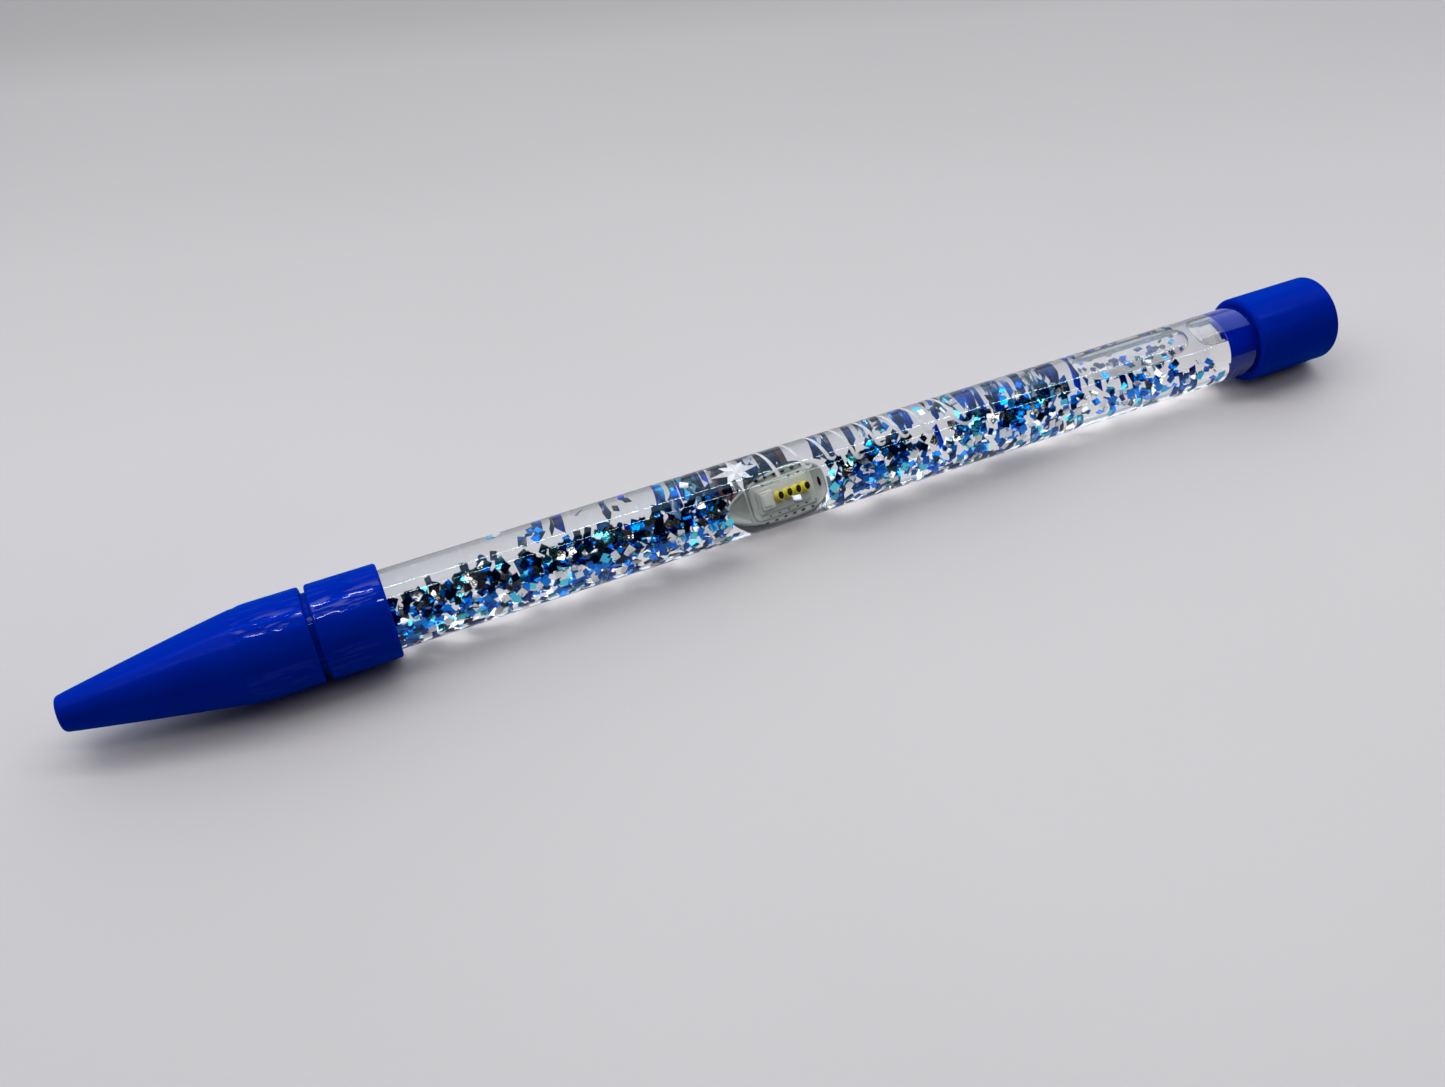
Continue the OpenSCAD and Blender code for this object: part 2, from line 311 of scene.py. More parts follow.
PLASTICS = {  # key: material, light and dark colour, roughness, then grain and specular level
    "bung_blue": ("blue_bung", (0.0, 0.012, 0.36), (0.0, 0.008, 0.26), 0.5, 0.02 * MM, 0.0),
    "nose": ("nose_plastic", (0.78, 0.80, 0.83), (0.70, 0.73, 0.77), 0.25),
    "stopper": ("stopper_rubber", (0.80, 0.81, 0.83), (0.74, 0.75, 0.78), 0.5),
    "refill": ("refill_plastic", (0.86, 0.87, 0.90), (0.80, 0.82, 0.86), 0.35),
    "ink": ("ink_gel", (0.02, 0.03, 0.22), (0.01, 0.02, 0.14), 0.2),
    "black": ("ship_black", (0.008, 0.009, 0.011), (0.003, 0.003, 0.004), 0.4, 0.02 * MM, 0.15),
    "red": ("ship_red", (0.13, 0.010, 0.008), (0.08, 0.006, 0.006), 0.4),
    # painted shade: the deck is a darker copy of the ship's cream, for the shade among the upperworks
    "deck": ("ship_deck_cream_painted_shade", (0.45, 0.48, 0.44), (0.33, 0.37, 0.34), 0.38, 0.1 * MM),
    "cream": ("ship_cream", (0.52, 0.55, 0.51), (0.42, 0.45, 0.42), 0.38, 0.1 * MM),
    # painted light: the bridge is a lighter copy of the ship's cream, as its top tier catches more
    # light
    "bridge": ("ship_bridge_cream_painted_light", (0.68, 0.70, 0.66), (0.58, 0.60, 0.57), 0.36, 0.06 * MM),
    "yellow": ("ship_yellow", (0.80, 0.70, 0.01), (0.68, 0.58, 0.005), 0.3),
}
MATERIALS = {key: moulded_plastic(*look) for key, look in PLASTICS.items()}
MATERIALS |= {
    "blue": blue_plastic("blue_gloss", 0.20, True),
    "satin_blue": blue_plastic("blue_satin", 0.30, False),
    "brass": turned_metal("nib_brass", (0.72, 0.57, 0.30), 0.28),
    "steel": turned_metal("ball_steel", (0.62, 0.62, 0.64), 0.18),
    "tube": clear_plastic(),
    "bore": matched_wall("tube_bore"),
    "oil": matched_wall("oil_side"),
    "surface": free_surface(),
    "flake_blue": flake_film("blue_film", (0.0, 0.06, 0.40), (0.0, 0.26, 0.95), 0.10),
    "flake_cyan": flake_film("cyan_film", (0.03, 0.50, 1.0), (0.15, 0.88, 1.0), 0.10),
    "flake_silver": flake_film("silver_film", (0.82, 0.85, 0.88), (0.98, 0.99, 1.0), 0.12),
    "print": printed_ink(),
}

# ---- mesh helpers


def mark_sharp(mesh, degrees=35):
    """Smooth shading everywhere but across edges sharper than this."""
    bm = bmesh.new()
    bm.from_mesh(mesh)
    for face in bm.faces:
        face.smooth = True
    for edge in bm.edges:
        edge.smooth = len(edge.link_faces) == 2 and edge.calc_face_angle(0) < math.radians(degrees)
    bm.to_mesh(mesh)
    bm.free()


def make_piece(name, verts, faces, materials, body, replaces=(), slot=None, degrees=35):
    mesh = bpy.data.meshes.new(name)
    mesh.from_pydata([tuple(v) for v in verts], [], faces)
    for key in materials:
        mesh.materials.append(MATERIALS[key])
    bm = bmesh.new()
    bm.from_mesh(mesh)
    bmesh.ops.remove_doubles(bm, verts=bm.verts, dist=WELD)
    bmesh.ops.recalc_face_normals(bm, faces=bm.faces)
    bm.to_mesh(mesh)
    bm.free()
    mark_sharp(mesh, degrees)
    piece = bpy.data.objects.new(name, mesh)
    bpy.context.scene.collection.objects.link(piece)
    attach(piece, body)
    if replaces:
        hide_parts(*replaces)
    return piece


def fillet(points, steps=6, closed=False):
    """Rounds the corners of an outline. A point is (x, r) or (x, r, rounding)."""
    out = []
    count = len(points)
    for i, point in enumerate(points):
        inner = closed or 0 < i < count - 1
        if len(point) < 3 or not inner:
            out.append(tuple(point[:2]))
            continue
        here = Vector(point[:2])
        back = (Vector(points[i - 1][:2]) - here).normalized()
        ahead = (Vector(points[(i + 1) % count][:2]) - here).normalized()
        half = back.angle(ahead) / 2
        centre = here + (back + ahead).normalized() * point[2] / math.sin(half)
        reach = point[2] / math.tan(half)
        first, last = here + back * reach - centre, here + ahead * reach - centre
        for k in range(steps + 1):
            spoke = (first * (steps - k) + last * k).normalized() * point[2]
            out.append(tuple(centre + spoke))
    return out


def turned(profile, closed=False, segments=SEGMENTS, seam=0.0):
    """Turns an outline of (x, r) points about the pen's axis; a seam is proud at both sides."""
    verts, rows = [], []
    seam_columns = (segments // 4, 3 * segments // 4)
    for x, r in profile:
        if r < WELD:
            rows.append([len(verts)])
            verts.append((x, 0, AXIS_Z))
            continue
        rows.append(list(range(len(verts), len(verts) + segments)))
        for k in range(segments):
            proud = seam if k in seam_columns and r > 2 * MM else 0.0
            verts.append(around(x, r + proud, TAU * k / segments))
    faces = []
    pairs = list(zip(rows, rows[1:])) + ([(rows[-1], rows[0])] if closed else [])
    for a, b in pairs:
        for k in range(segments):
            n = (k + 1) % segments
            quad = [a[k % len(a)], a[n % len(a)], b[n % len(b)], b[k % len(b)]]
            face = list(dict.fromkeys(quad))
            if len(face) > 2:
                faces.append(face)
    return verts, faces


def join(*meshes):
    verts, faces = [], []
    for more_verts, more_faces in meshes:
        offset = len(verts)
        verts += list(more_verts)
        faces += [[i + offset for i in face] for face in more_faces]
    return verts, faces


# ---- blue plastic parts

RIM = 0.45 * MM
TIP_R = 2.55 * MM
CONE_LEN = 27.8


def cone_radius(s):
    """Radius of the cap's cone at a station in millimetres."""
    u = s / CONE_LEN
    return TIP_R + 0.06 * MM + (FRONT_R - 0.1 * MM - TIP_R) * (1.08 * u - 0.08 * u**3)


def make_cap():
    tip_s, cone_steps = 0.4, 14
    cap_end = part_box("cap")[1].x
    bore_r = SPIGOT_R + 0.06 * MM
    bore_x = NOSE_END_X - 0.4 * MM
    last_s = CONE_LEN - 1.4
    cone = [(station(s), cone_radius(s)) for s in np.linspace(2.2, last_s, cone_steps)]
    outside = fillet(
        [(station(tip_s), 0), (station(tip_s), cone_radius(tip_s) - 0.05 * MM, 0.75 * MM)]
        + cone
        + [
            (station(CONE_LEN - 0.6), FRONT_R - 0.22 * MM),
            (station(CONE_LEN + 0.1), FRONT_R - 0.07 * MM),
            (station(CONE_LEN + 1.0), FRONT_R),
            (cap_end, FRONT_R, RIM),
            (cap_end, bore_r + 0.3 * MM),
            (cap_end - 0.3 * MM, bore_r),
            (bore_x, bore_r),
            (bore_x, bore_r - 0.6 * MM),
            (bore_x - 1 * MM, bore_r - 0.6 * MM),
            (station(6), cone_radius(6) - 1.3 * MM),
            (station(2.2), cone_radius(2.2) - 1.7 * MM),
            (station(2.2), 0),
        ],
        steps=8,
    )
    shell = turned(outside, seam=0.02 * MM)
    cap = make_piece("pull_off_cap", *shell, ["blue", "satin_blue"], "cap", ["cap"], "blue_plastic")
    for face in cap.data.polygons:
        face.material_index = int(face.center.x < station(CONE_LEN - 2))


def make_gate_nub():
    """The stub left where the cap's mould was filled, torn off a little unevenly."""
    rng = random.Random(SEED)
    steps, root_x = 20, station(0.5)
    rows = [(0.0, 0.34), (0.28, 0.30), (0.42, 0.22)]
    centre = Vector((0, 0.5 * MM, 0.3 * MM))
    verts = []
    for depth, radius in rows:
        for k in range(steps):
            a = TAU * k / steps
            x = max(root_x - (depth + rng.uniform(0, 0.05)) * MM, TIP_X)
            spread = radius * rng.uniform(0.9, 1.1) * MM
            y, z = centre.y + spread * math.sin(a), AXIS_Z + centre.z + spread * math.cos(a)
            verts.append((x, y, z))
    faces = []
    for row in range(len(rows) - 1):
        a, b = row * steps, (row + 1) * steps
        faces += [[a + k, a + (k + 1) % steps, b + (k + 1) % steps, b + k] for k in range(steps)]
    faces += [list(range(steps)), list(range((len(rows) - 1) * steps, len(rows) * steps))]
    make_piece("cap_gate_nub", verts, faces, ["blue"], "cap", slot="blue_plastic")


def make_collar():
    tail_r, refill_r, socket_x = 4.4 * MM, 1.6 * MM, COLLAR_X + 2 * MM
    profile = fillet(
        [
            (NOSE_END_X, tail_r),
            (NOSE_END_X, SPIGOT_R, 0.45 * MM),
            (COLLAR_X, SPIGOT_R, 0.1 * MM),
            (COLLAR_X, FRONT_R, RIM),
            (COLLAR_END_X, FRONT_R, RIM),
            (COLLAR_END_X, TUBE_R + 0.02 * MM),
            (socket_x, TUBE_R + 0.02 * MM),
            (socket_x, refill_r),
            (COLLAR_X - 0.6 * MM, refill_r),
            (COLLAR_X - 0.6 * MM, tail_r),
        ],
        closed=True,
    )
    make_piece(
        "collar", *turned(profile, closed=True, seam=0.02 * MM), ["blue"], "barrel",
        ["front_collar"], "blue_plastic",
    )


def make_end_cap():
    end_x = cad_high.x
    socket_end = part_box("barrel_tube")[1].x + 0.05 * MM
    profile = fillet(
        [
            (socket_end, 0),
            (socket_end, TUBE_R + 0.02 * MM),
            (END_CAP_X, TUBE_R + 0.02 * MM, 0.1 * MM),
            (END_CAP_X, END_R, 0.6 * MM),
            (end_x, END_R, 0.7 * MM),
            (end_x, 2.2 * MM),
            (end_x - 0.12 * MM, 2.0 * MM),
            (end_x - 0.12 * MM, 0),
        ],
        steps=8,
    )
    shell = turned(profile)
    make_piece("end_cap", *shell, ["satin_blue"], "barrel", ["rear_cap"], "blue_plastic")


def make_rear_bung():
    low, high = (p.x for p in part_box("rear_stopper"))
    body_r, rib_r, length = BORE_R - 0.25 * MM, BORE_R - 0.03 * MM, high - low
    ribs = []
    for i in range(2):
        x = low + 1.2 * MM + i * (length - 3.2 * MM)
        ribs += [
            (x, body_r, 0.1 * MM),
            (x + 0.2 * MM, rib_r, 0.1 * MM),
            (x + 0.8 * MM, rib_r, 0.1 * MM),
            (x + 1.0 * MM, body_r, 0.1 * MM),
        ]
    profile = fillet(
        [(low, 0), (low, body_r, 0.3 * MM)]
        + ribs
        + [(high, body_r, 0.3 * MM), (high, 2.6 * MM), (low + 5 * MM, 2.6 * MM), (low + 5 * MM, 0)]
    )
    plug = turned(profile)
    make_piece("rear_bung", *plug, ["bung_blue"], "barrel", ["rear_stopper"], "blue_plastic")


# ---- tube and oil


def make_tube():
    low, high = (p.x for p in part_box("barrel_tube"))
    chamfer = 0.1 * MM
    profile = fillet(
        [(low, BORE_R), (low, TUBE_R, chamfer), (high, TUBE_R, chamfer), (high, BORE_R)], closed=True
    )
    tube = make_piece(
        "clear_tube", *turned(profile, closed=True, segments=256), ["tube", "bore"], "barrel",
        ["barrel_tube"], "clear_tube",
    )
    limit = BORE_R + 0.05 * MM
    for face in tube.data.polygons:
        corners = [tube.data.vertices[i].co for i in face.vertices]
        face.material_index = int(max(math.hypot(c.y, c.z - AXIS_Z) for c in corners) < limit)


BUBBLE_HALF_W, BUBBLE_DIP = 3.0 * MM, 0.5 * MM
BUBBLE_LOOP = 64
BUBBLES = [(168.5, 191.0, False), (192.2, 198.0, True)]  # from, to, and whether it meets the rear
OIL_R = BORE_R - 0.03 * MM


def bubble_section(x, share):
    """A ring of the bubble's surface: flat below, following the wall above."""
    top_r, width = BORE_R - 0.05 * MM, BUBBLE_HALF_W * share
    corner = math.sqrt(top_r**2 - width**2)
    ring = []
    for k in range(BUBBLE_LOOP):
        c, s = math.cos(TAU * k / BUBBLE_LOOP), math.sin(TAU * k / BUBBLE_LOOP)
        y = width * math.copysign(abs(c) ** 0.75, c)
        height = math.sqrt(top_r**2 - y * y) - corner if s >= 0 else -BUBBLE_DIP * share
        ring.append((x, y, AXIS_Z + corner + height * abs(s) ** 0.6))
    return ring


def bubble(start, end, blunt):
    """An air bubble along the top of the bore; a blunt one is left open at its rear end."""
    rows = 72
    x0, x1 = station(start), min(station(end), LIQUID_HIGH_X)
    span = (x1 - x0) * (1.0 if blunt else 0.5)
    sweep = math.pi / 2 if blunt else math.pi
    verts, faces = [around(x0, BORE_R - 0.05 * MM, 0)], []
    for i in range(1, rows + (1 if blunt else 0)):
        t = math.cos(sweep * i / rows)
        verts += bubble_section(x0 + span * (1 - t), (1 - abs(t) ** 5) ** 0.42)
    starts = range(1, len(verts), BUBBLE_LOOP)
    for a, b in zip(starts, starts[1:]):
        for k in range(BUBBLE_LOOP):
            n = (k + 1) % BUBBLE_LOOP
            faces.append([a + k, a + n, b + n, b + k])
    faces += [[0, 1 + k, 1 + (k + 1) % BUBBLE_LOOP] for k in range(BUBBLE_LOOP)]
    if not blunt:
        last = starts[-1]
        verts.append(around(x1, BORE_R - 0.05 * MM, 0))
        faces += [[len(verts) - 1, last + k, last + (k + 1) % BUBBLE_LOOP] for k in range(BUBBLE_LOOP)]
    return verts, faces


def make_oil():
    """The oil: a rod of liquid with bubbles in it. An air film makes its rear end a mirror."""
    rod = turned([(LIQUID_LOW_X, 0), (LIQUID_LOW_X, OIL_R), (LIQUID_HIGH_X, OIL_R)])
    rim = [around(LIQUID_HIGH_X, OIL_R, TAU * k / SEGMENTS) for k in range(SEGMENTS)]
    mouth = bubble_section(LIQUID_HIGH_X, 1.0)
    outlines = [[Vector(p) for p in rim], [Vector(p) for p in mouth]]
    end = (rim + mouth, [list(face) for face in tessellate_polygon(outlines)])
    verts, faces = join(rod, end, *[bubble(*b) for b in BUBBLES])
    oil = make_piece(
        "oil", verts, faces, ["oil", "surface"], "barrel", ["liquid_fill"], "liquid", degrees=60
    )
    closed_bubble_end = station(BUBBLES[0][1]) + 0.01 * MM
    bm = bmesh.new()
    bm.from_mesh(oil.data)
    hollow = []
    for face in bm.faces:
        reach = min(math.hypot(v.co.y, v.co.z - AXIS_Z) for v in face.verts)
        on_side = reach > OIL_R - 0.001 * MM and abs(face.normal.x) < 0.5
        in_front = max(v.co.x for v in face.verts) < LIQUID_LOW_X + 0.01 * MM
        face.material_index = int(not (on_side or in_front))
        if face.material_index and max(v.co.x for v in face.verts) < closed_bubble_end:
            hollow.append(face)
    bmesh.ops.reverse_faces(bm, faces=hollow)
    bm.to_mesh(oil.data)
    bm.free()


# ---- ship

SHIP_HEEL, SHIP_YAW = math.radians(42), math.radians(2.2)
SHIP_DROP = Vector((0, -0.81 * MM, -0.74 * MM))
SHIP_BEAM = 5.8 * MM
DECK_T, HULL_DEPTH, BOTTOM_DEPTH = 0.3 * MM, 2.2 * MM, 0.9 * MM
WAY_TAPER = 0.6 * MM  # how much narrower the ship's way is at the keel than at the deck
HOUSE_H, BRIDGE_H = 0.55 * MM, 0.55 * MM
SHIP_PLACE = (
    Matrix.Translation(Vector((SHIP_MID_X, 0, AXIS_Z)) + SHIP_DROP)
    @ Matrix.Rotation(SHIP_HEEL, 4, "X")
    @ Matrix.Rotation(SHIP_YAW, 4, "Z")
    @ Matrix.Translation((-SHIP_LEN / 2, 0, 0))
)


def half_beam(f):
    """Half the beam at a fraction of the length from the bow."""
    return SHIP_BEAM / 2 * max(math.sin(math.pi * f**1.6), 0) ** 0.28


def deck_outline(inset=0.0, steps=40):
    """Points around the deck, port side aft then starboard forward, drawn in by inset."""
    length = SHIP_LEN - 2 * inset
    side = []
    for i in range(steps + 1):
        f = 0.5 - 0.5 * math.cos(math.pi * i / steps)
        side.append((inset + length * f, max(half_beam(f) - inset, 0)))
    return [(x, -y) for x, y in side] + [(x, y) for x, y in side[-2:0:-1]]


def stacked_faces(rows, count):
    """Faces of a closed solid made of rows of points, each row a ring of count points."""
    faces = []
    for row in range(rows - 1):
        a, b = row * count, (row + 1) * count
        faces += [[a + k, a + (k + 1) % count, b + (k + 1) % count, b + k] for k in range(count)]
    top = (rows - 1) * count
    return faces + [list(range(count))[::-1], list(range(top, top + count))]


def layered(layers):
    """A closed solid through matching outlines, each at a height, from bottom to top."""
    verts = [SHIP_PLACE @ Vector((x, y, z)) for outline, z in layers for x, y in outline]
    return verts, stacked_faces(len(layers), len(layers[0][0]))


def scaled(outline, fx, fy, mid):
    """An outline with its length scaled by fx about mid, and its beam by fy."""
    return [(mid + (x - mid) * fx, y * fy) for x, y in outline]


def soft_block(x0, x1, half_w, z0, z1, edge, nose=0.0):
    """A block with rounded plan corners and a softened top; nose rounds its forward end more."""
    fore, aft = max(nose, edge), edge

    def plan(shrink):
        a, b, w = x0 + shrink, x1 - shrink, half_w - shrink
        corners = [
            (b - aft, -w + aft, aft, -90),
            (b - aft, w - aft, aft, 0),
            (a + fore, w - fore, fore, 90),
            (a + fore, -w + fore, fore, 180),
        ]
        points = []
        for x, y, radius, first in corners:
            for turn in range(0, 91, 15):
                angle = math.radians(first + turn)
                points.append((x + radius * math.cos(angle), y + radius * math.sin(angle)))
        return points

    soft = edge * 0.5
    return layered([
        (plan(0), z0), (plan(0), z1 - soft), (plan(soft * 0.35), z1 - soft * 0.35), (plan(soft), z1),
    ])


def make_hull():
    """The black side and the red bottom, in layers that shrink a little towards the keel."""
    mid = SHIP_LEN * 0.52
    sheer = deck_outline()
    hull_top = -DECK_T
    keel = hull_top - HULL_DEPTH
    black = [
        (scaled(sheer, 0.93, 0.92, mid), keel),
        (scaled(sheer, 0.955, 0.955, mid), keel + 0.7 * MM),
        (scaled(sheer, 0.975, 0.98, mid), keel + 1.4 * MM),
        (scaled(sheer, 0.985, 0.985, mid), hull_top),
    ]
    red = [
        (scaled(sheer, 0.79, 0.70, mid), keel - BOTTOM_DEPTH),
        (scaled(sheer, 0.84, 0.79, mid), keel - 0.75 * MM),
        (scaled(sheer, 0.90, 0.88, mid), keel - 0.35 * MM),
        (scaled(sheer, 0.93, 0.92, mid), keel),
    ]
    make_piece("black_hull", *layered(black), ["black"], "ship", ["ship_hull"], "black_paint")
    make_piece("red_bottom", *layered(red), ["red"], "ship", ["ship_bottom"], "red_paint")


def make_deck():
    """The deck, with a low rail around its edge."""
    rail = 0.22 * MM
    deck = [
        (deck_outline(), -DECK_T),
        (deck_outline(), 0.05 * MM),
        (deck_outline(0.06 * MM), 0.12 * MM),
        (deck_outline(rail), 0.12 * MM),
        (deck_outline(rail + 0.08 * MM), 0.0),
    ]
    make_piece(
        "pale_deck", *layered(deck), ["deck"], "ship", ["ship_deck"], "cream_plastic", degrees=50
    )


def make_house():
    """The superstructure in two tiers, with a breakwater before it, and the bridge in two tiers."""
    length, bridge_top = SHIP_LEN, HOUSE_H + BRIDGE_H
    house = [
        soft_block(0.245 * length, 0.875 * length, 2.05 * MM, 0, 0.3 * MM, 0.25 * MM, nose=1.1 * MM),
        soft_block(0.30 * length, 0.82 * length, 1.5 * MM, 0.28 * MM, HOUSE_H, 0.2 * MM, nose=0.5 * MM),
        soft_block(0.21 * length, 0.228 * length, 1.75 * MM, 0, 0.22 * MM, 0.12 * MM),
    ]
    low, high = HOUSE_H - 0.02 * MM, bridge_top + 0.22 * MM
    bridge = [
        soft_block(0.335 * length, 0.455 * length, 1.1 * MM, low, bridge_top, 0.18 * MM),
        soft_block(0.35 * length, 0.43 * length, 0.75 * MM, bridge_top, high, 0.12 * MM),
    ]
    make_piece("superstructure", *join(*house), ["cream"], "ship", ["ship_house"], "cream_plastic")
    make_piece("bridge", *join(*bridge), ["bridge"], "ship", ["ship_bridge"], "cream_plastic")


def tube_along(place, rings, steps=36):
    """A closed turned solid: rings are (height, radius), placed by a matrix."""
    verts = [
        place @ Vector((r * math.cos(TAU * k / steps), r * math.sin(TAU * k / steps), z))
        for z, r in rings
        for k in range(steps)
    ]
    return verts, stacked_faces(len(rings), steps)


FUNNEL_R, FUNNEL_H, FUNNEL_RAKE = 0.62 * MM, 1.35 * MM, math.radians(14)
FUNNEL_TOP_R = 0.47 * MM
FUNNEL_FIRST, FUNNEL_PITCH, FUNNELS = 8.9 * MM, 1.57 * MM, 4


def funnel_place(k):
    spot = Matrix.Translation(Vector((FUNNEL_FIRST + k * FUNNEL_PITCH, 0, HOUSE_H)))
    return SHIP_PLACE @ spot @ Matrix.Rotation(FUNNEL_RAKE, 4, "Y")


def make_funnels():
    tops = []
    for k in range(FUNNELS):
        place = funnel_place(k)
        rings = [
            (-0.12 * MM, FUNNEL_R * 1.06),
            (0.12 * MM, FUNNEL_R),
            (FUNNEL_H - 0.12 * MM, FUNNEL_R * 0.98),
            (FUNNEL_H - 0.02 * MM, FUNNEL_R),
            (FUNNEL_H, FUNNEL_R * 0.96),
        ]
        make_piece(
            f"funnel_{k + 1}", *tube_along(place, rings), ["yellow"], "ship",
            [f"ship_funnel_{k + 1}"], "yellow_paint",
        )
        top = [
            (FUNNEL_H, FUNNEL_TOP_R),
            (FUNNEL_H + 0.07 * MM, FUNNEL_TOP_R),
            (FUNNEL_H + 0.1 * MM, FUNNEL_TOP_R * 0.9),
        ]
        tops.append(tube_along(place, top))
    make_piece("funnel_tops", *join(*tops), ["black"], "ship", ["ship_funnel_tops"], "black_paint")


BOATS, BOAT_PITCH, BOAT_FIRST = 6, 1.6 * MM, 0.36


def make_boats():
    """Small dark boats along the deck's edges, each with a vent inboard of it, a little uneven."""
    rng = random.Random(SEED + 1)
    for side, name in ((-1, "port"), (1, "starboard")):
        boats = []
        for i in range(BOATS):
            x = BOAT_FIRST * SHIP_LEN + i * BOAT_PITCH + rng.uniform(-0.08, 0.08) * MM
            y = side * (2.48 + rng.uniform(-0.05, 0.03)) * MM
            long, wide = rng.uniform(0.28, 0.37) * MM, rng.uniform(0.13, 0.16) * MM
            spot = SHIP_PLACE @ Matrix.Translation(Vector((x, y, 0.02 * MM)))
            squash = Matrix.Diagonal((long / wide, 1, 1, 1))
            rings = [
                (0.0, wide),
                (0.12 * MM, wide * 1.05),
                (0.2 * MM, wide * 0.8),
                (0.22 * MM, wide * 0.5),
            ]
            boats.append(tube_along(spot @ squash, rings, steps=16))
            vent_at = Matrix.Translation(Vector((x + 0.7 * MM, side * 1.78 * MM, 0.28 * MM)))
            vent = [(0, 0.1 * MM), (0.05 * MM, 0.09 * MM)]
            boats.append(tube_along(SHIP_PLACE @ vent_at @ squash, vent, steps=10))
        make_piece(
            f"boats_{name}", *join(*boats), ["black"], "ship", [f"ship_boats_{name}"], "black_paint"
        )


def make_hatch():
    spot = Matrix.Translation(Vector((0.935 * SHIP_LEN, 0, 0)))
    squash = Matrix.Diagonal((0.5, 1, 1, 1))
    rings = [(0, 0.52 * MM), (0.12 * MM, 0.52 * MM), (0.16 * MM, 0.45 * MM)]
    make_piece(
        "stern_hatch", *tube_along(SHIP_PLACE @ spot @ squash, rings), ["black"], "ship",
        ["ship_stern_hatch"], "black_paint",
    )


# ---- glitter

FLAKE_T = 0.035 * MM
WALL_TRIES, PILE_TRIES, STRAY_CLUSTERS = 9200, 3000, 60
SHARES = {"blue": 0.52, "cyan": 0.16, "silver": 0.32}
BUBBLE_START_S = 167  # from this station on, the flakes stay below the bubbles
CLEARED_COVER = 0.008  # the few flakes left between the ship and the camera
PILE_SLOPE = 0.2  # the settled flakes lie a little higher on the camera's side
BED_ANGLE = 138  # degrees from the top: beyond this the far wall carries a bed of flakes
BANK_TOP = math.radians(49)  # below this angle the flakes on the camera's side lie almost level
BANK_FOOT = math.radians(64)  # below this more of them rest against the wall
BANK_LEAN = math.radians(36)  # flakes high on the camera's side lean against those below them


UPPERWORKS = [(2.1, 0.6), (1.12, 1.35), (0.65, 2.2)]  # half width and top of house, bridge, funnels


def in_ship_way(y, z):
    """Which points lie in the section that the ship sweeps along the tube, with a little room."""
    room = 0.12 * MM + SHIP_LEN / 2 * math.sin(SHIP_YAW)
    dy, dz = y - SHIP_DROP.y, z - SHIP_DROP.z
    c, s = math.cos(SHIP_HEEL), math.sin(SHIP_HEEL)
    u, v = np.abs(dy * c + dz * s), -dy * s + dz * c
    keel = -(DECK_T + HULL_DEPTH + BOTTOM_DEPTH)
    flare = np.clip((v - keel) / -keel, 0, 1) * WAY_TAPER
    hull = (u < SHIP_BEAM / 2 - WAY_TAPER + flare + room) & (v > keel - room) & (v < 0.3 * MM + room)
    room = 0.1 * MM + 0.3 * SHIP_LEN * math.sin(SHIP_YAW)
    swept = hull
    for half_w, top in UPPERWORKS:
        swept = swept | ((u < half_w * MM + room) & (v >= 0) & (v < top * MM + room))
    return swept


def blend(value, low, high):
    """0 up to low, 1 from high on, and a straight ramp between."""
    return np.clip((value - low) / (high - low), 0, 1)


def sway(s, *waves):
    """A sum of sines along the pen; each wave is (wavelength in millimetres, phase, size)."""
    return sum(size * np.sin(TAU * s / length + phase) for length, phase, size in waves)


def wall_cover(s, angle):
    """How fully flakes cover the bore's wall at a station and an angle in degrees (-180 to 180).

    The bank on the camera's side starts at front_edge and thins out towards the rear. On the far
    side a bed lies along the bottom, and beside the ship the flakes climb almost to the top.
    """
    middle, rear, last = blend(s, 121, 132), blend(s, 160, 172), blend(s, 188, 192)
    at_bow = blend(s, 94, 98) * (1 - blend(s, 107, 110))
    waver = sway(s, (17, 0.4, 7), (7.3, 2.0, 6), (3.1, 1.0, 5))
    front_edge = 15 + 12 * middle + 10 * rear - 10 * at_bow + waver
    front_edge = front_edge + 26 * (sway(s, (23.7, 2.1, 1), (6.7, 0.6, 1)) > 1.3)
    front = 0.2 + 0.6 * blend(angle, front_edge - 3, front_edge + 7)
    front = np.where(angle > 50 + 8 * middle, 1.0 - 0.1 * middle, front) * (1 - 0.2 * middle)
    front = front * (angle > front_edge - 4) * (1 - 0.4 * rear) * (1 - 0.85 * last * (angle < 62))
    around_ship = blend(s, 90, 98) * (1 - blend(s, 114, 120))
    back_edge = 146 - 58 * blend(s, 88, 97) + 44 * rear + sway(s, (13, 1.2, 10), (5.1, 0.3, 9))
    bed = 1 - 0.25 * rear - 0.6 * last
    above_bed = 0.12 + 0.7 * around_ship + 0.4 * blend(s, 148, 153)
    back = np.where(-angle > BED_ANGLE, bed, above_bed * (-angle > back_edge))
    return np.where(angle >= 0, front, back)


def beside_ship(x, angle):
    """The wall between the ship and the camera, which the ship has cleared."""
    along = np.abs(x - SHIP_MID_X) < SHIP_LEN / 2 + 0.2 * MM
    at_bow = x < SHIP_MID_X - 0.12 * SHIP_LEN
    return along & (angle > np.where(at_bow, 19, -32)) & (angle < 150)


def flake_frames(normal, rng):
    """Two axes across each flake, turned at random about its normal, and the unit normal."""
    normal = normal / np.linalg.norm(normal, axis=1)[:, None]
    u = np.cross(normal, rng.normal(size=normal.shape))
    u /= np.linalg.norm(u, axis=1)[:, None]
    return u, np.cross(normal, u), normal


